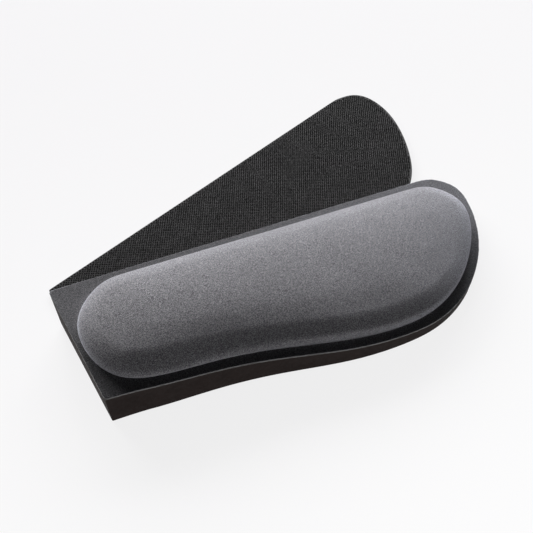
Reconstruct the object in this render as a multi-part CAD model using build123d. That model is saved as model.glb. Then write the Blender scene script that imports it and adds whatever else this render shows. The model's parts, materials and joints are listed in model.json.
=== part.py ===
from build123d import *
import os

# Wrist rest: a tapered cushion standing on a swivelling anchor plate.
# All lengths in mm.  Work frame: origin on the table below the cushion's back-left corner,
# X along the straight far edge, +Y towards the keyboard, +Z up.
# The finished parts are shifted by ORIGIN, which puts the origin at the bottom centre of the box.

# ---- overall ----
ORIGIN = (110.59, 5.68)           # bottom centre of the whole object in the work frame
TALL = 40.0                      # blank height, above the highest point of the cushion body

# ---- sloping top of the body: z = TOP_Z + TOP_DX * x + TOP_DY * y ----
TOP_Z = 27.3                     # flange height at the back-left corner
TOP_DX = -0.073                  # falls towards the rounded end
TOP_DY = 0.088                   # rises towards the keyboard

# ---- layers of the cushion ----
FABRIC = 0.9
FILM = 0.3
PAD_HEIGHT = 12.5                # crown of the cushion above the flange
PAD_ROUND = 9.0                  # rounding of the cushion's shoulder
CORNER_ROUND = 0.5               # upright corners at the cut end
FOOT_ROUND = 0.9                 # lower edge of the body

# ---- anchor plate: grip sheet, board, grip sheet ----
GRIP = 0.8
BOARD = 1.4
PLATE = GRIP + BOARD + GRIP
OPEN_ANGLE = 19.44               # how far the plate is swung out at rest
PIVOT = (18.0, -14.0)

# ---- pocket in the underside of the body ----
GLIDE = 0.5                      # low-friction lining on the pocket's ceiling
GLIDE_GAP = 0.3
POCKET = PLATE + GLIDE_GAP + GLIDE
POCKET_END = 190.0               # the front rim stops here
SOLE = 0.4

# ---- pivot ----
PIN_R = 2.0
PIN_HEAD_R = 4.6
PIN_HEAD = 0.6
PIN_HEAD_Z = 0.1
PIN_TOP = 13.0
RUNNING_GAP = 0.05
EYELET_WALL = 0.8
EYELET_RIM = 0.9
INSERT_R = 4.0
INSERT_FLANGE_R = 5.5
INSERT_FLANGE = 1.2
HEAD_CLEARANCE = 0.9

# ---- outlines, work frame ----
FAR_EDGE_END = (198.0, 1.2)
ROUND_END = [(211.0, -1.5), (217.8, -8.2), (218.9, -20.0), (214.0, -36.5), (205.0, -51.5), (188.0, -67.5)]
FRONT_EDGE = [(164.0, -77.9), (145.0, -79.4), (120.0, -77.2), (90.0, -70.6), (60.0, -65.2), (30.0, -62.3)]
CUT_CORNER = (7.2, -60.2)

PAD_START = (36.0, -6.6)
PAD_FAR_END = (186.0, -6.6)
PAD_ROUND_END = [(202.5, -10.4), (210.8, -22.5), (208.6, -35.0), (198.8, -50.0), (182.0, -65.0)]
PAD_FRONT = [(162.0, -73.6), (144.0, -75.2), (120.0, -72.6), (90.0, -65.7), (60.0, -60.0), (34.0, -57.2)]
PAD_CUT_END = [(16.0, -51.6), (7.8, -36.5), (10.0, -19.6), (20.5, -9.6)]

PAD_MIDDLE = (108.8, -41.0)
PAD_SIZE = (203.8, 68.8)

PLATE_CORNER = (12.2, 24.6)
PLATE_FAR_END = (216.0, 24.6)
PLATE_ROUND_END = [(225.7, 23.7), (232.5, 20.9), (237.3, 15.0), (238.6, 6.5), (237.0, -4.5), (230.4, -20.0),
                   (218.0, -37.7), (203.4, -51.2)]
PLATE_FRONT = [(184.0, -59.8), (162.0, -66.6), (143.0, -68.2), (120.0, -65.4), (90.0, -58.4), (60.0, -52.8)]
PLATE_INNER = (24.0, -50.0)
PLATE_SIDE = [(13.6, -44.0), (8.8, -14.0)]

EASY = (2.0, 2.0)                # how firmly a spline's ends hold their direction

POCKET_BACK = 6.0                # the pocket runs out past the far edge
POCKET_SIDE = [(2.4, POCKET_BACK), (7.7, -15.0), (12.4, -46.0)]
POCKET_INNER = (22.0, -51.6)
POCKET_FRONT = [(60.0, -54.2), (90.0, -59.8), (120.0, -66.8), (143.0, -69.6), (163.0, -68.0)]
POCKET_STOP = (POCKET_END, -58.6)
POCKET_OUT = (245.0, -95.0)

LINING_SIDE = [(7.5, -2.5), (9.6, -15.0), (13.6, -45.2), (22.5, -50.4)]
LINING_FRONT = [(60.0, -53.0), (90.0, -58.6), (120.0, -65.6), (143.0, -68.4), (163.0, -66.8), (187.0, -59.4)]
LINING_ROUND_END = [(203.5, -50.6), (214.4, -31.6), (217.6, -15.5), (213.2, -5.0), (200.0, -1.2)]

SOLE_OUTER = [(184.0, -66.0), (163.0, -74.8), (145.0, -76.3), (120.0, -73.8), (90.0, -66.8), (60.0, -61.2),
              (30.0, -58.1), (11.5, -56.9)]
SOLE_INNER = [(22.0, -52.8), (60.0, -55.4), (90.0, -61.0), (120.0, -68.0), (143.0, -70.8), (163.0, -69.2),
              (184.0, -61.8)]


def body_outline():
    far = Line((0, 0), FAR_EDGE_END)
    front = Spline(FAR_EDGE_END, *ROUND_END, *FRONT_EDGE, CUT_CORNER, tangents=[(1, 0.02), (-1, 0.06)],
                   tangent_scalars=EASY)
    cut = Line(CUT_CORNER, (0, 0))
    return make_face(Wire([far, front, cut]))


def pad_outline():
    far = Line(PAD_START, PAD_FAR_END)
    rim = Spline(PAD_FAR_END, *PAD_ROUND_END, *PAD_FRONT, *PAD_CUT_END, PAD_START, tangents=[(1, 0), (1, 0)],
                 tangent_scalars=EASY)
    return make_face(Wire([far, rim]))


def plate_outline():
    far = Line(PLATE_CORNER, PLATE_FAR_END)
    rim = Spline(PLATE_FAR_END, *PLATE_ROUND_END, *PLATE_FRONT, PLATE_INNER, tangents=[(1, 0), (-1, 0.02)],
                 tangent_scalars=EASY)
    side = Polyline(PLATE_INNER, *PLATE_SIDE, PLATE_CORNER)
    return make_face(Wire([far, rim, *side.edges()]))


def pocket_outline():
    side = Polyline(*POCKET_SIDE, POCKET_INNER)
    front = Spline(POCKET_INNER, *POCKET_FRONT, POCKET_STOP)
    x_out, y_out = POCKET_OUT
    out = Polyline(POCKET_STOP, (POCKET_END, y_out), (x_out, y_out), (x_out, POCKET_BACK), POCKET_SIDE[0])
    return make_face(Wire([*side.edges(), front, *out.edges()]))


def slab(face, z_low, z_high):
    return Pos(0, 0, z_low) * extrude(face, amount=z_high - z_low, dir=(0, 0, 1))


def top_plane(drop):
    return Plane(origin=(0, 0, TOP_Z - drop), x_dir=(1, 0, TOP_DX), z_dir=(-TOP_DX, -TOP_DY, 1))


def below(shape, drop):
    return split(shape, bisect_by=top_plane(drop), keep=Keep.BOTTOM)


def above(shape, drop):
    return split(shape, bisect_by=top_plane(drop), keep=Keep.TOP)


def dome(inset, height):
    """The cushion's bulge as a rounded pad on the sloping top."""
    face = pad_outline()
    if inset > 0:
        across = 2 * inset / PAD_SIZE[0]
        deep = 2 * inset / PAD_SIZE[1]
        recentre = Pos(PAD_MIDDLE[0] * across, PAD_MIDDLE[1] * deep, 0)
        face = recentre * scale(face, by=(1 - across, 1 - deep, 1))
    pad = extrude(face, amount=height, dir=(0, 0, 1))
    top = pad.faces().sort_by(Axis.Z)[-1]
    return top_plane(FABRIC) * fillet(top.edges(), PAD_ROUND - inset)


def disc(radius, z_low, z_high):
    return Pos(*PIVOT, (z_low + z_high) / 2) * Cylinder(radius, z_high - z_low)


def swing_open(shape):
    x, y = PIVOT
    return Pos(x, y, 0) * Rot(0, 0, OPEN_ANGLE) * Pos(-x, -y, 0) * shape


def body_column():
    """The body's footprint as an upright block with eased corners at the cut end."""
    block = slab(body_outline(), 0, TALL)
    corners = block.edges().filter_by(Axis.Z).sort_by(Axis.X)[:2]
    return fillet(corners, CORNER_ROUND)


def make_wedge_base():
    block = body_column() & slab(Rectangle(600, 400).face(), SOLE, TALL)
    foot = block.faces().sort_by(Axis.Z)[0]
    block = fillet(foot.edges(), FOOT_ROUND)
    block = below(block, FABRIC + FILM)
    block -= slab(pocket_outline(), 0, POCKET)
    block -= disc(INSERT_R, 0, PIN_TOP)
    block -= disc(INSERT_FLANGE_R, 0, POCKET + INSERT_FLANGE)
    return block


def make_front_sole():
    outer = Spline(*SOLE_OUTER)
    inner = Spline(*SOLE_INNER)
    ends = [Line(SOLE_OUTER[-1], SOLE_INNER[0]), Line(SOLE_INNER[-1], SOLE_OUTER[0])]
    return slab(make_face(Wire([outer, ends[0], inner, ends[1]])), 0, SOLE)


def make_glide_lining():
    side = Polyline(*LINING_SIDE)
    rim = Spline(LINING_SIDE[-1], *LINING_FRONT, *LINING_ROUND_END)
    far = Line(LINING_ROUND_END[-1], LINING_SIDE[0])
    area = make_face(Wire([*side.edges(), rim, far]))
    return slab(area, POCKET - GLIDE, POCKET) - disc(INSERT_FLANGE_R + 0.5, 0, TALL)


def make_bonding_film():
    return above(below(body_column(), FABRIC), FABRIC + FILM)


def make_foam_core():
    return dome(FABRIC, PAD_HEIGHT)


def make_fabric_cover():
    flange = above(below(body_column(), 0), FABRIC)
    shell = flange + dome(0, PAD_HEIGHT + FABRIC)
    return shell - make_foam_core()


def make_grip_sheet(z_low, hole):
    return slab(plate_outline(), z_low, z_low + GRIP) - disc(hole, z_low - 1, z_low + 2)


def make_plate_board():
    board = slab(plate_outline(), GRIP, GRIP + BOARD)
    return board - disc(PIN_R + RUNNING_GAP + EYELET_WALL, 0, PLATE)


def make_pivot_eyelet():
    """Flanged metal ring that lines the plate's hole."""
    bore = PIN_R + RUNNING_GAP
    tube = disc(bore + EYELET_WALL, GRIP, PLATE)
    rim = disc(bore + EYELET_WALL + EYELET_RIM, GRIP + BOARD, PLATE)
    return tube + rim - disc(bore, 0, PLATE + 1)


def make_pivot_pin():
    head = disc(PIN_HEAD_R, PIN_HEAD_Z, PIN_HEAD_Z + PIN_HEAD)
    return head + disc(PIN_R, PIN_HEAD_Z, PIN_TOP)


def make_pivot_insert():
    """Metal insert moulded into the body, with its flange let into the pocket's ceiling."""
    barrel = disc(INSERT_R, POCKET, PIN_TOP)
    flange = disc(INSERT_FLANGE_R, POCKET - GLIDE, POCKET + INSERT_FLANGE)
    return barrel + flange - disc(PIN_R, 0, TALL)


EYELET_R = PIN_R + RUNNING_GAP + EYELET_WALL + EYELET_RIM

NODES = {
    "wedge_base": make_wedge_base(),
    "front_sole_strip": make_front_sole(),
    "pocket_glide_lining": make_glide_lining(),
    "bonding_film": make_bonding_film(),
    "foam_core": make_foam_core(),
    "fabric_cover": make_fabric_cover(),
    "pivot_insert": make_pivot_insert(),
    "pivot_pin": make_pivot_pin(),
    "plate_bottom_grip": swing_open(make_grip_sheet(0, PIN_HEAD_R + HEAD_CLEARANCE)),
    "plate_board": swing_open(make_plate_board()),
    "plate_top_grip": swing_open(make_grip_sheet(GRIP + BOARD, EYELET_R)),
    "pivot_eyelet": swing_open(make_pivot_eyelet()),
}

os.makedirs("parts", exist_ok=True)
whole = Compound(children=[Pos(-ORIGIN[0], -ORIGIN[1], 0) * shape for shape in NODES.values()])
for name, shape in NODES.items():
    placed = Pos(-ORIGIN[0], -ORIGIN[1], 0) * shape
    export_step(placed, f"parts/{name}.step")
    box = placed.bounding_box()
    print(f"{name:22s} solids {len(placed.solids())} volume {placed.volume:9.1f} z {box.min.Z:6.2f} {box.max.Z:6.2f}")
box = whole.bounding_box()
print("box centre", round(box.center().X, 2), round(box.center().Y, 2), "size", box.size)
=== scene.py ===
import json
import math
import random

import bmesh
import bpy
import numpy as np
from mathutils import Matrix, Vector, geometry


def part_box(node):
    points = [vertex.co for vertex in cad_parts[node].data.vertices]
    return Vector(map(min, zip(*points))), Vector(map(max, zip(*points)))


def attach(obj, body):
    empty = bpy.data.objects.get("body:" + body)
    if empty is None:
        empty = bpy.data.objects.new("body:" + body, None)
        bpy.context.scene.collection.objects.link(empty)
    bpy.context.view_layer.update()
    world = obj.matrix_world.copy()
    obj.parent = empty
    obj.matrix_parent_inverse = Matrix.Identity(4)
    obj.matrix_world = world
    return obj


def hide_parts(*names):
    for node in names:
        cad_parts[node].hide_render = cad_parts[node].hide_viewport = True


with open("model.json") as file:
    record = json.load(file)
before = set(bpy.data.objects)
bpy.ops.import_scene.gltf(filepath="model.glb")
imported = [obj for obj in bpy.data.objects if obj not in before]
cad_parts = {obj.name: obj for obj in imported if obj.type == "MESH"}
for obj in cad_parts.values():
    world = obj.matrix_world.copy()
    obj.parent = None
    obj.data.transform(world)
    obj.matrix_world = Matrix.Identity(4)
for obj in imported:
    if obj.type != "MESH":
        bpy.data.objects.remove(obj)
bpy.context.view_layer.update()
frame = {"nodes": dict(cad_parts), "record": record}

# Wrist rest: a jersey-covered cushion on a tapered base, with a grip plate swung out from under it.
# Metres, in the part's frame.  Lengths in the tables below are in millimetres.
NODES = frame["nodes"]
MM = 0.001

# ---- the body's sloping top, as in part.py ----
ORIGIN = Vector((110.59, 5.68, 0)) * MM
TOP_Z, TOP_DX, TOP_DY = 27.3 * MM, -0.073, 0.088
UP = Vector((-TOP_DX, -TOP_DY, 1)).normalized()
ALONG = Vector((1, 0, TOP_DX)).normalized()
ACROSS = UP.cross(ALONG)
TILT = Matrix((ALONG, ACROSS, UP)).transposed().to_4x4()
TO_WORLD = Matrix.Translation(Vector((0, 0, TOP_Z)) - ORIGIN) @ TILT
TO_PLANE = TO_WORLD.inverted()

# ---- cushion ----
SPOKES = 320                     # points round each ring of the cover
FINE = 1600                      # points round a finely sampled outline
SHOULDER_RINGS = 17              # rings over the rounded shoulder
TUCK_RINGS = 6                   # those of them near its widest line
TOP_RING = 13                    # shoulder ring from which the pad's top is evened out
SHOULDER = 17.0                  # half width of the rounded shoulder's ellipse
PAD_RISE = 6.5                   # half height of that ellipse
TUCK = math.radians(33)          # how far under its widest line the shoulder curls to the crease
CROWN = 3.0                      # extra height towards the middle
REACH = 26.0                     # how far in the crown goes on rising
PUFF = 0.9                       # most that the simulation may move the cover
SPREAD = 5.0                     # distance over which that movement is averaged
FABRIC = 0.9
JAG = 0.10                       # unevenness of the cut edge
SPINE_END = 33.0                 # where the pad's middle line stops short of its ends
FILL = 2.4                       # spacing of the points in the pad's middle

# ---- camera ----
CAMERA_PLACE = (-0.10289, -0.22838, 0.3009)
CAMERA_TILT, CAMERA_TURN = math.radians(38), math.radians(-24.58)

# ---- plate ----
OPEN_ANGLE = math.radians(19.44)
DIAMOND = (1.65, 1.65)             # net of the grip sheet: along and across the plate
PIT = 0.35
MARGIN = 1.1                     # plain border of the net
GRIP = 0.8
PLATE_TOP = 3.0


# ---------------------------------------------------------------- meshes
def face_loops(node, keep):
    """Closed outlines of the node's faces that keep() accepts, longest first."""
    bm = bmesh.new()
    bm.from_mesh(node.data)
    bmesh.ops.remove_doubles(bm, verts=bm.verts, dist=2e-6)
    chosen = {f for f in bm.faces if keep(f)}
    left = {e for e in bm.edges if sum(f in chosen for f in e.link_faces) == 1}
    loops = []
    while left:
        edge = min(left, key=lambda e: e.index)
        left.remove(edge)
        start, here = edge.verts
        loop = [start.co.copy()]
        while here != start:
            loop.append(here.co.copy())
            edge = next(e for e in here.link_edges if e in left)
            left.remove(edge)
            here = edge.other_vert(here)
        loops.append(loop)
    bm.free()
    return sorted(loops, key=lambda l: -sum((a - b).length for a, b in zip(l, l[1:] + l[:1])))


def flat_loop(points, to_flat):
    """A loop as an anticlockwise array of (x, y) in mm."""
    loop = np.array([(to_flat @ p)[:2] for p in points]) / MM
    x, y = loop.T
    area = np.sum(x * np.roll(y, -1) - np.roll(x, -1) * y)
    return loop if area > 0 else loop[::-1]


def along(loop, turns):
    """Points at the given shares of the loop's length."""
    closed = np.vstack([loop, loop[:1]])
    steps = np.hypot(*np.diff(closed, axis=0).T)
    run = np.concatenate([[0], np.cumsum(steps)]) / steps.sum()
    at = np.mod(turns, 1)
    return np.column_stack([np.interp(at, run, closed[:, k]) for k in (0, 1)])


def distance(points, loop):
    """Least distance of each point from a closed loop."""
    a, b = loop, np.roll(loop, -1, axis=0)
    step = b - a
    size = np.maximum((step ** 2).sum(1), 1e-12)
    offset = points[:, None, :] - a[None]
    t = np.clip((offset * step).sum(2) / size, 0, 1)
    gap = offset - t[..., None] * step
    return np.sqrt((gap ** 2).sum(2).min(1))


def round_average(values, width):
    """Hann-weighted running average of values that go once round a loop."""
    kernel = np.hanning(2 * width + 3)[1:-1]
    padded = np.concatenate([values[-width:], values, values[:width]])
    return np.convolve(padded, kernel / kernel.sum(), "valid")


def rounded(loop, width, keep=None):
    """Takes the corners out of an evenly spaced loop.  Where keep is 1 the loop stays as it is."""
    soft = np.column_stack([round_average(loop[:, k], width) for k in (0, 1)])
    return soft if keep is None else soft + (loop - soft) * keep[:, None]


def blurred(values, places, weights, reach):
    """Weighted average of the values round each place."""
    soft = []
    for part in np.array_split(places, 60):
        near = np.exp(-((part[:, None] - places[None]) ** 2).sum(2) / (2 * reach ** 2)) * weights
        soft.append(near @ values / near.sum(1))
    return np.concatenate(soft)


def smooth_turns(turns, width):
    """Evens out shares of a loop that run once round it."""
    count = len(turns)
    even = np.arange(count) / count
    drift = np.unwrap((turns - even) * 2 * math.pi) / (2 * math.pi)
    return even + round_average(drift, width)


def new_piece(name, verts, faces, *looks):
    mesh = bpy.data.meshes.new(name)
    mesh.from_pydata([tuple(v) for v in verts], [], faces)
    mesh.validate()
    mesh.update()
    return show(name, mesh, *looks)


def show(name, mesh, *looks):
    for look in looks:
        mesh.materials.append(look)
    obj = bpy.data.objects.new(name, mesh)
    bpy.context.scene.collection.objects.link(obj)
    return obj


def apply_modifiers(obj):
    graph = bpy.context.evaluated_depsgraph_get()
    mesh = bpy.data.meshes.new_from_object(obj.evaluated_get(graph))
    obj.modifiers.clear()
    obj.data = mesh
    for face in mesh.polygons:
        face.use_smooth = True


def finish_piece(obj, body, slot, *replaced):
    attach(obj, body)
    if replaced:
        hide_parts(*replaced)


# ---------------------------------------------------------------- cushion
def cushion_outlines():
    def on_flange(face):
        return face.normal.dot(UP) > 0.9999 and abs((TO_PLANE @ face.calc_center_median()).z) < 3e-5

    outer, inner = face_loops(NODES["fabric_cover"], on_flange)[:2]
    return flat_loop(outer, TO_PLANE), flat_loop(inner, TO_PLANE)


def overhang(rim, square):
    """How strongly the pad curls over its crease, round the rim: little at the far side, most in front."""
    front = np.clip((square[:, 1] + 0.1) / 0.9, 0, 1)
    along_front = np.interp(rim[:, 0], (8, 35, 65, 110, 160, 200), (0.6, 1.15, 0.75, 0.3, 0.35, 0.4))
    share = 0.25 + (along_front - 0.25) * front + 0.35 * (rim[:, 0] < 30) * (1 - front)
    return round_average(share, 11)[:, None]


def spine_points(pad, rim):
    """The pad's middle line, one point for each point of its rim."""
    low, high = pad[:, 0].min() + SPINE_END, pad[:, 0].max() - SPINE_END
    stations = np.linspace(low, high, 24)
    middle = []
    for x in stations:
        near = pad[np.abs(pad[:, 0] - x).argsort()[:60]]
        middle.append((near[:, 1].max() + near[:, 1].min()) / 2)
    middle = np.convolve(np.pad(middle, 3, mode="edge"), np.ones(7) / 7, "valid")
    share = np.clip((rim[:, 0] - low) / (high - low), 0, 1)
    share = round_average(share, 9)
    x = low + share * (high - low)
    return np.column_stack([x, np.interp(x, stations, middle)])


def cover_rings():
    """Rings of (x, y, height) from the cut edge, over the flange and the shoulder, to the pad's middle."""
    outer, pad = cushion_outlines()
    turns = np.arange(SPOKES) / SPOKES
    outer = along(outer, np.arange(FINE) / FINE)
    outer = rounded(outer, 22, np.clip((190 - outer[:, 0]) / 30, 0, 1))
    edge = along(outer, turns)
    pad = rounded(along(pad, np.arange(FINE) / FINE), 34)
    fine = along(pad, np.arange(FINE) / FINE)
    nearest = ((edge[:, None] - fine[None]) ** 2).sum(2).argmin(1) / FINE
    rim = along(pad, smooth_turns(nearest, 16))
    spine = spine_points(fine, rim)
    rings = [edge + (rim - edge) * s for s in (0, 0.06, 0.3, 0.6, 0.85, 0.96)]
    flange_count = len(rings)
    inward = spine - rim
    reach = np.hypot(*inward.T)[:, None]
    step = np.roll(rim, -1, axis=0) - np.roll(rim, 1, axis=0)
    square = np.column_stack([-step[:, 1], step[:, 0]]) / np.hypot(*step.T)[:, None]
    curl = overhang(rim, square)
    rises = []
    for k in range(SHOULDER_RINGS):
        if k < TUCK_RINGS:
            turn = TUCK * (k / 3 - 1)
        else:
            turn = TUCK * 2 / 3 + (math.pi / 2 - TUCK * 2 / 3) * (k - 5) / 11
        depth = SHOULDER * (math.cos(TUCK) - math.cos(turn))
        lean = min(1, max(0, depth) / SHOULDER)
        if depth < 0:
            rings.append(rim + square * depth * curl)
        else:
            rings.append(rim + (square * (1 - lean) + inward / reach * lean) * depth)
        rises.append(PAD_RISE * (math.sin(turn) + math.sin(TUCK)))
    last = SHOULDER * math.cos(TUCK) / reach
    for k in range(1, 6):
        rings.append(rim + inward * (last + (0.78 - last) * k / 5))
    middle, middle_faces = fill_loop(rings[-1], (len(rings) - 1) * SPOKES, len(rings) * SPOKES)
    flat = np.vstack([*rings, middle])
    top = PAD_RISE * (1 + math.sin(TUCK))
    height = np.concatenate([np.zeros(flange_count * SPOKES), np.repeat(rises, SPOKES)])
    height = np.concatenate([height, np.full(len(flat) - len(height), top)])
    depth = distance(flat, along(pad, np.arange(700) / 700)) * inside_loop(flat, pad)
    height += CROWN * (1 - (1 - np.clip(depth / REACH, 0, 1)) ** 2)
    return flat, height, flange_count, ring_faces(0, len(rings)) + middle_faces


def fill_loop(loop, first, first_new):
    """An even triangle mesh inside a loop whose points are numbered from first; new points from first_new."""
    low, high = loop.min(0), loop.max(0)
    lattice = []
    for row in range(int((high[1] - low[1]) / (FILL * 0.87)) + 1):
        for col in range(int((high[0] - low[0]) / FILL) + 1):
            lattice.append((low[0] + (col + row % 2 / 2) * FILL, low[1] + row * FILL * 0.87))
    lattice = np.array(lattice)
    lattice = lattice[inside_loop(lattice, loop)]
    lattice = lattice[distance(lattice, loop) > FILL * 0.6]
    count = len(loop)
    edges = [(i, (i + 1) % count) for i in range(count)]
    points = [Vector(p) for p in np.vstack([loop, lattice])]
    _, _, faces, origin, *_ = geometry.delaunay_2d_cdt(points, edges, [], 1, 1e-6)
    number = [o[0] + first if o[0] < count else o[0] - count + first_new for o in origin]
    return lattice, [tuple(number[i] for i in f) for f in faces]


def ring_faces(first, last):
    faces = []
    for r in range(first, last - 1):
        for i in range(SPOKES):
            j = (i + 1) % SPOKES
            faces.append((r * SPOKES + i, r * SPOKES + j, (r + 1) * SPOKES + j, (r + 1) * SPOKES + i))
    return faces


def even_out(obj, first_vert):
    """Turns every face upwards and takes the ridges out of the pad's middle."""
    bm = bmesh.new()
    bm.from_mesh(obj.data)
    bm.verts.ensure_lookup_table()
    for _ in range(60):
        bmesh.ops.smooth_vert(bm, verts=bm.verts[first_vert:], factor=0.5, use_axis_x=True, use_axis_y=True,
                              use_axis_z=True)
    bmesh.ops.recalc_face_normals(bm, faces=bm.faces)
    if sum(f.normal.dot(UP) * f.calc_area() for f in bm.faces) < 0:
        bmesh.ops.reverse_faces(bm, faces=bm.faces)
    bm.to_mesh(obj.data)
    bm.free()


def puff_up(obj, held):
    """Cloth simulation: air pressure tightens the jersey over the foam.

    The held points don't move.  The others move along their normals, by an average over their surroundings.
    """
    group = obj.vertex_groups.new(name="held")
    group.add(list(held), 1.0, "REPLACE")
    cloth = obj.modifiers.new("Cloth", "CLOTH")
    cloth.settings.vertex_group_mass = "held"
    cloth.settings.use_pressure = True
    cloth.settings.uniform_pressure_force = 4.0
    cloth.settings.tension_stiffness = 20
    cloth.settings.compression_stiffness = 20
    cloth.settings.effector_weights.gravity = 0
    cloth.point_cache.frame_start, cloth.point_cache.frame_end = 1, 20
    for step in range(1, 21):
        bpy.context.scene.frame_set(step)
    graph = bpy.context.evaluated_depsgraph_get()
    moved = [v.co.copy() for v in obj.evaluated_get(graph).data.vertices]
    obj.modifiers.clear()
    obj.vertex_groups.clear()
    bpy.context.scene.frame_set(1)
    bm = bmesh.new()
    bm.from_mesh(obj.data)
    bm.normal_update()
    limit = PUFF * MM
    out = np.array([limit * math.tanh((new - v.co).dot(v.normal) / limit) for v, new in zip(bm.verts, moved)])
    share = np.array([sum(f.calc_area() / len(f.verts) for f in v.link_faces) for v in bm.verts])
    out = blurred(out, np.array([v.co for v in bm.verts]), share, SPREAD * MM)
    out[list(held)] = 0
    normals = [v.normal.copy() for v in bm.verts]
    for vert, normal, amount in zip(bm.verts, normals, out):
        vert.co += normal * amount
    bm.to_mesh(obj.data)
    bm.free()


def make_cover(looks):
    flat, height, flange_count, faces = cover_rings()
    verts = [TO_WORLD @ (Vector((x, y, h)) * MM) for (x, y), h in zip(flat, height)]
    cover = new_piece("cushion_cover", verts, faces, looks["jersey"], looks["cut_edge"])
    pressed = cover.data.attributes.new("pressed", "FLOAT", "POINT")
    for ring, amount in enumerate((1, 1, 1, 0.9, 0.6, 0.3)):
        for i in range(ring * SPOKES, (ring + 1) * SPOKES):
            pressed.data[i].value = amount
    even_out(cover, (flange_count + TOP_RING) * SPOKES)
    puff_up(cover, range((flange_count + 1) * SPOKES))
    cover.modifiers.new("smooth", "SUBSURF").levels = 1
    apply_modifiers(cover)
    foam = make_foam(cover, looks["cushion_foam"])
    roughen_cut_edge(cover)
    thick = cover.modifiers.new("thickness", "SOLIDIFY")
    thick.thickness, thick.offset = FABRIC * MM, -1
    thick.material_offset_rim = 1
    apply_modifiers(cover)
    return cover, foam


def roughen_cut_edge(cover):
    """Knit cut with scissors never leaves a clean line."""
    rng = random.Random(7)
    bm = bmesh.new()
    bm.from_mesh(cover.data)
    for vert in bm.verts:
        if vert.is_boundary:
            outward = sum((e.other_vert(vert).co - vert.co for e in vert.link_edges if not e.is_boundary), Vector())
            vert.co -= outward.normalized() * rng.uniform(-JAG, JAG) * MM
            vert.co += UP * rng.uniform(-0.3, 0.5) * JAG * MM
    bm.to_mesh(cover.data)
    bm.free()


def make_foam(cover, look):
    """The moulded foam under the cover: the pad's surface set in by the jersey's thickness, closed below."""
    bm = bmesh.new()
    bm.from_mesh(cover.data)
    bm.normal_update()
    for vert in bm.verts:
        vert.co -= vert.normal * (FABRIC + 0.05) * MM
    low = [v for v in bm.verts if (TO_PLANE @ v.co).z < -0.2 * MM]
    bmesh.ops.delete(bm, geom=low, context="VERTS")
    rim = [e for e in bm.edges if e.is_boundary]
    for vert in {v for e in rim for v in e.verts}:
        local = TO_PLANE @ vert.co
        vert.co = TO_WORLD @ Vector((local.x, local.y, -0.6 * MM))
    bmesh.ops.contextual_create(bm, geom=rim)
    bmesh.ops.recalc_face_normals(bm, faces=bm.faces)
    mesh = bpy.data.meshes.new("foam_block")
    bm.to_mesh(mesh)
    bm.free()
    return show("foam_block", mesh, look)


# ---------------------------------------------------------------- plate
def make_grip_net(look):
    """The plate's upper sheet: a net of ridges round small diamond pits."""
    node = NODES["plate_top_grip"]
    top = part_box("plate_top_grip")[1].z
    spin = Matrix.Rotation(-OPEN_ANGLE, 4, "Z")
    loops = face_loops(node, lambda f: f.normal.z > 0.99 and f.calc_center_median().z > top - 1e-5)
    outer, hole = (flat_loop(l, spin) for l in loops[:2])
    outer = along(outer, np.arange(520) / 520)
    low, high = outer.min(0), outer.max(0)
    across, up = DIAMOND
    cells = []
    for row in range(int((high[1] - low[1]) / up * 2) + 2):
        for col in range(int((high[0] - low[0]) / across * 2) + 2):
            cells.append((low[0] + col * across / 2, low[1] + row * up / 2, (row + col) % 2))
    cells = np.array(cells)
    ring = [(hole[:, k].max() + hole[:, k].min()) / 2 for k in (0, 1)]
    radius = (hole[:, 0].max() - hole[:, 0].min()) / 2
    clear = np.hypot(cells[:, 0] - ring[0], cells[:, 1] - ring[1]) > radius + 0.6
    cells = cells[clear & inside_loop(cells[:, :2], outer)]
    gap = np.concatenate([distance(part, outer) for part in np.array_split(cells[:, :2], 12)])
    cells, gap = cells[gap > 0.45], gap[gap > 0.45]
    points = np.vstack([outer, hole, cells[:, :2]])
    depth = np.concatenate([np.zeros(len(outer) + len(hole)), PIT * cells[:, 2] * (gap > MARGIN)])
    count, inner = len(outer), len(hole)
    edges = [(i, (i + 1) % count) for i in range(count)]
    edges += [(count + i, count + (i + 1) % inner) for i in range(inner)]
    flat, _, faces, origin, *_ = geometry.delaunay_2d_cdt([Vector(p) for p in points], edges, [], 2, 1e-6)
    back = spin.inverted()
    verts = []
    for p, source in zip(flat, origin):
        sunk = depth[source[0]] if source else 0
        verts.append(back @ Vector((p.x * MM, p.y * MM, top - sunk * MM)))
    centre = Vector(ring)
    faces = [f for f in faces
             if (sum((flat[i] for i in f), Vector((0, 0))) / len(f) - centre).length > radius * 0.98]
    bm = bmesh.new()
    made = [bm.verts.new(v) for v in verts]
    for f in faces:
        bm.faces.new([made[i] for i in f])
    bmesh.ops.delete(bm, geom=[v for v in bm.verts if not v.link_faces], context="VERTS")
    sunk = top - PIT * MM / 2
    across_ridges = [e for e in bm.edges if not e.is_boundary and all(v.co.z < sunk for v in e.verts)]
    bmesh.ops.rotate_edges(bm, edges=across_ridges, use_ccw=False)
    rim = [e for e in bm.edges if e.is_boundary]
    grown = bmesh.ops.extrude_edge_only(bm, edges=rim)["geom"]
    for vert in (g for g in grown if isinstance(g, bmesh.types.BMVert)):
        vert.co.z = top - GRIP * MM
    below = [e for e in bm.edges if e.is_boundary]
    bmesh.ops.triangle_fill(bm, edges=below, normal=(0, 0, -1))
    bmesh.ops.recalc_face_normals(bm, faces=bm.faces)
    mesh = bpy.data.meshes.new("grip_net")
    bm.to_mesh(mesh)
    bm.free()
    return show("grip_net", mesh, look)


def inside_loop(points, loop):
    x, y = points.T
    inside = np.zeros(len(points), bool)
    for (ax, ay), (bx, by) in zip(loop, np.roll(loop, -1, axis=0)):
        if ay != by:
            crosses = (ay > y) != (by > y)
            inside ^= crosses & (x < ax + (y - ay) * (bx - ax) / (by - ay))
    return inside


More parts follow.
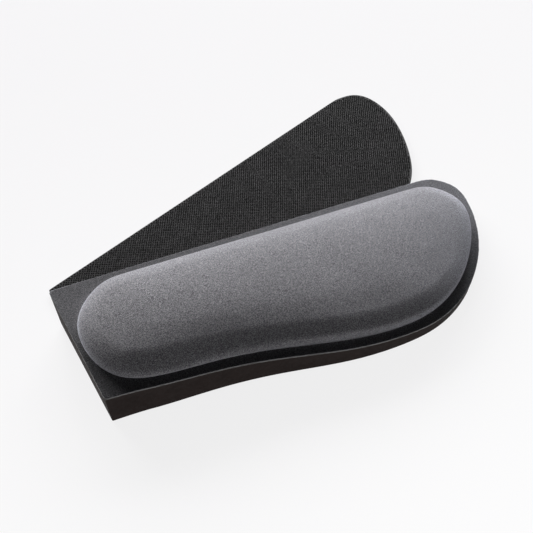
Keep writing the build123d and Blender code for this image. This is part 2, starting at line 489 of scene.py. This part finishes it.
# ---------------------------------------------------------------- materials
class Look:
    """A procedural material.  Textures are laid out in millimetres on the object's own coordinates."""

    def __init__(self, name, roughness, metallic=0.0, sheen=0.0, sheen_rough=0.5, sheen_tint=(1, 1, 1),
                 specular=0.5):
        self.material = bpy.data.materials.new(name)
        self.material.use_nodes = True
        self.tree = self.material.node_tree
        self.shader = self.tree.nodes["Principled BSDF"]
        self.set("Roughness", roughness)
        self.set("Metallic", metallic)
        self.set("Specular IOR Level", specular)
        if sheen:
            self.set("Sheen Weight", sheen)
            self.set("Sheen Roughness", sheen_rough)
            self.set("Sheen Tint", (*sheen_tint, 1))
        coords = self.node("ShaderNodeTexCoord")
        scale = self.node("ShaderNodeVectorMath", operation="SCALE")
        scale.inputs["Scale"].default_value = 1 / MM
        self.link(coords.outputs["Object"], scale.inputs[0])
        self.mm = scale.outputs[0]

    def set(self, socket, value):
        self.shader.inputs[socket].default_value = value

    def node(self, kind, **settings):
        node = self.tree.nodes.new(kind)
        for key, value in settings.items():
            setattr(node, key, value)
        return node

    def link(self, source, target):
        self.tree.links.new(source, target)

    def math(self, operation, a, b=None):
        node = self.node("ShaderNodeMath", operation=operation)
        for socket, value in zip(node.inputs, (a, b)):
            if value is None:
                continue
            if isinstance(value, (int, float)):
                socket.default_value = value
            else:
                self.link(value, socket)
        return node.outputs[0]

    def noise(self, size, detail=2.0, rough=0.5, stretch=(1, 1, 1), turn=0.0):
        """Noise whose grains are about size mm."""
        place = self.node("ShaderNodeMapping")
        place.inputs["Scale"].default_value = stretch
        place.inputs["Rotation"].default_value = (0, 0, turn)
        self.link(self.mm, place.inputs["Vector"])
        tex = self.node("ShaderNodeTexNoise")
        tex.inputs["Scale"].default_value = 1 / size
        tex.inputs["Detail"].default_value = detail
        tex.inputs["Roughness"].default_value = rough
        self.link(place.outputs[0], tex.inputs["Vector"])
        return tex.outputs["Fac"]

    def ramp(self, fac, *stops):
        """Colours or greys at positions along fac."""
        node = self.node("ShaderNodeValToRGB")
        ramp = node.color_ramp
        while len(ramp.elements) < len(stops):
            ramp.elements.new(0.5)
        for element, (at, colour) in zip(ramp.elements, stops):
            element.position = at
            element.color = (*colour, 1) if isinstance(colour, tuple) else (colour, colour, colour, 1)
        self.link(fac, node.inputs[0])
        return node.outputs[0]

    def blend(self, fac, a, b, how="MIX"):
        node = self.node("ShaderNodeMix", data_type="RGBA", blend_type=how)
        for socket, value in ((node.inputs[0], fac), (node.inputs[6], a), (node.inputs[7], b)):
            if isinstance(value, (int, float, tuple)):
                socket.default_value = value
            else:
                self.link(value, socket)
        return node.outputs[2]

    def bump(self, height, depth_mm, previous=None):
        node = self.node("ShaderNodeBump")
        node.inputs["Strength"].default_value = 1.0
        node.inputs["Distance"].default_value = depth_mm * MM
        self.link(height, node.inputs["Height"])
        if previous is not None:
            self.link(previous, node.inputs["Normal"])
        return node.outputs[0]

    def finish(self, colour, normal=None, roughness=None):
        self.link(colour, self.shader.inputs["Base Color"])
        if normal is not None:
            self.link(normal, self.shader.inputs["Normal"])
        if roughness is not None:
            self.link(roughness, self.shader.inputs["Roughness"])
        return self.material

    def knit(self, wale, course):
        """Height of a jersey knit: columns of small V stitches."""
        split = self.node("ShaderNodeSeparateXYZ")
        self.link(self.mm, split.inputs[0])
        x, y = split.outputs[0], split.outputs[1]
        column = self.math("PINGPONG", self.math("DIVIDE", x, wale), 0.5)
        rib = self.math("SINE", self.math("MULTIPLY", column, 2 * math.pi))
        slanted = self.math("ADD", self.math("DIVIDE", y, course), self.math("MULTIPLY", column, 1.4))
        stitch = self.math("SINE", self.math("MULTIPLY", slanted, 2 * math.pi))
        stitch = self.math("ADD", self.math("MULTIPLY", stitch, 0.5), 0.5)
        return self.math("ADD", self.math("MULTIPLY", rib, 0.6), self.math("MULTIPLY", stitch, 0.4))

    def worn(self, colour, lighter, strength=1.0):
        """Lighter where the surface turns sharply outwards."""
        geo = self.node("ShaderNodeNewGeometry")
        edge = self.ramp(geo.outputs["Pointiness"], (0.5, 0.0), (0.6, strength))
        return self.blend(edge, colour, lighter)


def jersey():
    look = Look("jersey", 0.85, sheen=0.65, sheen_rough=0.35, sheen_tint=(0.85, 0.88, 1.0), specular=0.25)
    speck = look.ramp(look.noise(0.42, 3, 0.6), (0.38, (0.054, 0.052, 0.058)), (0.50, (0.124, 0.121, 0.130)),
                      (0.62, (0.252, 0.248, 0.260)))
    cloud = look.ramp(look.noise(22, 2), (0.3, 0.93), (0.7, 1.06))
    colour = look.blend(1.0, speck, cloud, "MULTIPLY")
    knit = look.knit(0.62, 0.5)
    # The colour is darker where the knit's stitches sink: painted shade in the grooves between stitches.
    colour = look.blend(1.0, colour, look.ramp(knit, (0.1, 0.78), (0.8, 1.1)), "MULTIPLY")
    pressed = look.node("ShaderNodeAttribute", attribute_name="pressed").outputs["Fac"]
    colour = look.blend(1.0, colour, look.ramp(pressed, (0.0, 1.0), (1.0, 0.40)), "MULTIPLY")
    fuzz = look.bump(look.noise(0.35, 4, 0.7), 0.07)
    return look.finish(colour, look.bump(knit, 0.12, fuzz), look.ramp(look.noise(3, 2), (0.3, 0.8), (0.7, 0.95)))


def cut_edge():
    """Loose pale fibres where the cloth was cut."""
    look = Look("cut_edge", 0.95, sheen=0.3, sheen_rough=0.6, specular=0.2)
    colour = look.ramp(look.noise(0.5, 4, 0.7), (0.3, (0.03, 0.029, 0.031)), (0.7, (0.12, 0.117, 0.123)))
    return look.finish(colour, look.bump(look.noise(0.3, 4, 0.7), 0.15))


def moulded_base():
    look = Look("moulded_base", 0.8, specular=0.04)
    colour = look.ramp(look.noise(6, 3), (0.35, (0.0135, 0.0086, 0.0075)), (0.65, (0.018, 0.0118, 0.0105)))
    colour = look.worn(colour, (0.032, 0.026, 0.024, 1), 0.3)
    grain = look.bump(look.noise(0.5, 4, 0.6), 0.05)
    soft = look.bump(look.noise(7, 2), 0.18, grain)
    return look.finish(colour, soft, look.ramp(look.noise(1.5, 3), (0.3, 0.55), (0.7, 0.72)))


def woven_grip():
    look = Look("woven_grip", 0.85, specular=0.04)
    colour = look.ramp(look.noise(0.8, 3, 0.6), (0.36, (0.009, 0.009, 0.0095)), (0.64, (0.066, 0.065, 0.067)))
    split = look.node("ShaderNodeSeparateXYZ")
    look.link(look.mm, split.inputs[0])
    # The pits are painted far darker than the ridges: painted shade in the grip net's hollows.
    painted_pit_shade = look.ramp(look.math("SUBTRACT", split.outputs[2], PLATE_TOP - 1), (1 - PIT * 0.6, 0.03), (0.99, 1.0))
    colour = look.blend(1.0, colour, painted_pit_shade, "MULTIPLY")
    patch = look.ramp(look.noise(14, 2), (0.3, 0.85), (0.7, 1.1))
    colour = look.blend(1.0, colour, patch, "MULTIPLY")
    grain = look.bump(look.noise(0.3, 3, 0.6), 0.06)
    return look.finish(colour, grain, look.ramp(look.noise(1.1, 2), (0.3, 0.5), (0.7, 0.72)))


def grip_rubber():
    look = Look("grip_rubber", 0.7, specular=0.35)
    colour = look.ramp(look.noise(4, 3), (0.35, (0.014, 0.014, 0.015)), (0.65, (0.024, 0.024, 0.025)))
    colour = look.worn(colour, (0.05, 0.05, 0.05, 1), 0.5)
    weave = look.bump(look.knit(1.2, 1.2), 0.12)
    return look.finish(colour, look.bump(look.noise(0.4, 3), 0.04, weave))


def plate_board():
    look = Look("plate_board", 0.5, specular=0.4)
    colour = look.ramp(look.noise(3, 3), (0.35, (0.014, 0.014, 0.014)), (0.65, (0.022, 0.022, 0.022)))
    colour = look.worn(colour, (0.06, 0.06, 0.06, 1), 0.6)
    return look.finish(colour, look.bump(look.noise(0.6, 3), 0.03))


def film(name, dark, light, size):
    look = Look(name, 0.4, specular=0.5)
    colour = look.ramp(look.noise(size, 3), (0.35, dark), (0.65, light))
    gloss = look.ramp(look.noise(2, 2), (0.3, 0.35), (0.7, 0.5))
    return look.finish(colour, look.bump(look.noise(0.8, 2), 0.02), gloss)


def foam_look():
    look = Look("cushion_foam", 0.95, specular=0.2)
    colour = look.ramp(look.noise(5, 3), (0.35, (0.46, 0.42, 0.32)), (0.65, (0.56, 0.53, 0.43)))
    cells = look.node("ShaderNodeTexVoronoi")
    cells.inputs["Scale"].default_value = 1.4
    look.link(look.mm, cells.inputs["Vector"])
    return look.finish(colour, look.bump(cells.outputs["Distance"], 0.3))


def metal(name, dark, light, turn):
    look = Look(name, 0.32, metallic=1.0)
    colour = look.ramp(look.noise(1.2, 3), (0.3, dark), (0.7, light))
    brushed = look.noise(0.25, 2, 0.5, (1, 14, 1), turn)
    return look.finish(colour, look.bump(brushed, 0.01), look.ramp(brushed, (0.3, 0.25), (0.7, 0.45)))


def make_looks():
    return {
        "jersey": jersey(),
        "cut_edge": cut_edge(),
        "moulded_base": moulded_base(),
        "woven_grip": woven_grip(),
        "grip_rubber": grip_rubber(),
        "plate_board": plate_board(),
        "glide_film": film("glide_film", (0.30, 0.30, 0.29), (0.38, 0.38, 0.37), 6),
        "bonding_film": film("bonding_film", (0.055, 0.05, 0.045), (0.08, 0.075, 0.068), 2),
        "cushion_foam": foam_look(),
        "brass_insert": metal("brass_insert", (0.52, 0.40, 0.17), (0.66, 0.52, 0.25), 0.4),
        "pivot_steel": metal("pivot_steel", (0.42, 0.42, 0.43), (0.56, 0.56, 0.57), 1.1),
    }


def paint_nodes(looks):
    for part in frame["record"]["subparts"]:
        mesh = NODES[part["node"]].data
        mesh.materials.clear()
        mesh.materials.append(looks[part["material_slot"]])


# ---------------------------------------------------------------- studio
def make_floor():
    half = 4.0
    corners = [(-half, -half, 0), (half, -half, 0), (half, half, 0), (-half, half, 0)]
    floor = new_piece("floor", corners, [(0, 1, 2, 3)])
    look = Look("light_table", 0.9, specular=0.0)
    split = look.node("ShaderNodeSeparateXYZ")
    look.link(look.mm, split.inputs[0])
    depth = look.math("MULTIPLY", look.math("ADD", split.outputs[1], 300), 1 / 800)
    glow = look.ramp(depth, (0.0, (1.0, 1.0, 1.0)), (1.0, (0.71, 0.702, 0.716)))
    look.link(glow, look.shader.inputs["Emission Color"])
    look.set("Emission Strength", 0.915)
    colour = look.ramp(look.noise(400, 2), (0.3, (0.078, 0.077, 0.079)), (0.7, (0.083, 0.083, 0.085)))
    floor.data.materials.append(look.finish(colour))


def area_light(name, place, target, size, power, colour=(1, 1, 1)):
    light = bpy.data.lights.new(name, "AREA")
    light.shape = "RECTANGLE"
    light.size, light.size_y = size
    light.energy = power
    light.color = colour
    lamp = bpy.data.objects.new(name, light)
    lamp.location = place
    lamp.rotation_euler = (Vector(target) - Vector(place)).to_track_quat("-Z", "Y").to_euler()
    bpy.context.scene.collection.objects.link(lamp)


def softbox(name, bearing, elevation, size, power, colour=(1, 1, 1)):
    """A large soft light round the object; the bearing is in degrees from +X towards +Y."""
    a, e = math.radians(bearing), math.radians(elevation)
    place = Vector((math.cos(a) * math.cos(e), math.sin(a) * math.cos(e), math.sin(e))) * 1.3
    area_light(name, place, (0, 0, 0), size, power, colour)


def make_studio():
    bpy.context.scene.view_settings.view_transform = "Standard"
    world = bpy.data.worlds.new("studio")
    world.use_nodes = True
    world.node_tree.nodes["Background"].inputs["Color"].default_value = (0.95, 0.97, 1.0, 1)
    world.node_tree.nodes["Background"].inputs["Strength"].default_value = 0.025
    bpy.context.scene.world = world
    softbox("back_left", 102, 26, (0.9, 0.5), 30, (1.0, 0.99, 0.98))
    softbox("back", 68, 28, (1.0, 0.5), 28)
    softbox("back_right", 48, 26, (0.9, 0.5), 7.0, (0.97, 0.98, 1.0))
    softbox("front_card", 250, 7, (1.2, 0.2), 3.6)


def make_camera():
    camera = bpy.data.cameras.new("camera")
    camera.lens, camera.sensor_width = 50, 36
    camera.clip_start = 0.01
    holder = bpy.data.objects.new("camera", camera)
    holder.location = CAMERA_PLACE
    holder.rotation_euler = (CAMERA_TILT, 0, CAMERA_TURN)
    bpy.context.scene.collection.objects.link(holder)
    bpy.context.scene.camera = holder


make_camera()
make_floor()
make_studio()
looks = make_looks()
paint_nodes(looks)
cushion_cover, foam_block = make_cover(looks)
grip_net = make_grip_net(looks["woven_grip"])
finish_piece(cushion_cover, "cushion_body", "jersey", "fabric_cover")
finish_piece(foam_block, "cushion_body", "cushion_foam", "foam_core")
finish_piece(grip_net, "anchor_plate", "woven_grip", "plate_top_grip")
